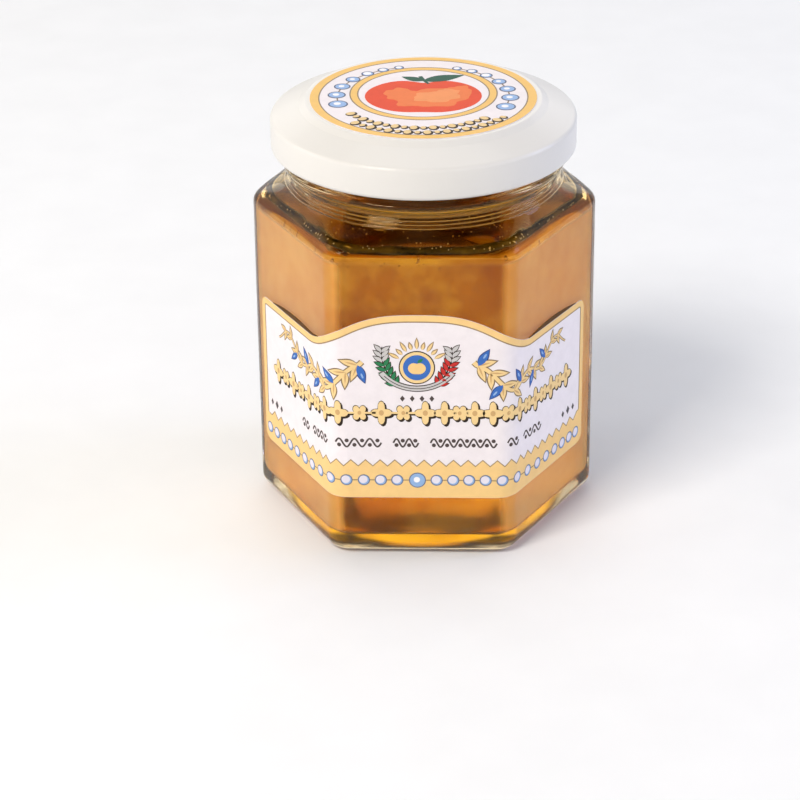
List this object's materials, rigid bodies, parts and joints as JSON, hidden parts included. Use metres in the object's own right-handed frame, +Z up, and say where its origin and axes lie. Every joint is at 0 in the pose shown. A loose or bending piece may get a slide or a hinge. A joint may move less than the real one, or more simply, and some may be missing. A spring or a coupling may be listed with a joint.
{
  "type": "jar of apple jelly",
  "caption": "Hexagonal glass jar filled with amber apple jelly and closed by a white twist-off lid, with a paper label round its front and a round label on top.",
  "frame": {"origin": "centre of the jar's base, on the surface it stands on", "axes": "+Z up through the lid, -Y out of the front panel that carries the label, +X to the right of that panel"},
  "size_m": [0.0692, 0.0614, 0.0873],
  "materials": {
    "glass": "clear, glossy",
    "jelly": "translucent amber",
    "lid": "white lacquer, glossy",
    "seal": "soft sealing compound",
    "label": "coated paper, printed in gold and colours"
  },
  "bodies": {
    "root": {"jar": "glass", "jelly": "jelly", "lid": "lid", "lid_seal": "seal", "front_label": "label", "lid_label": "label"}
  },
  "joints": []
}
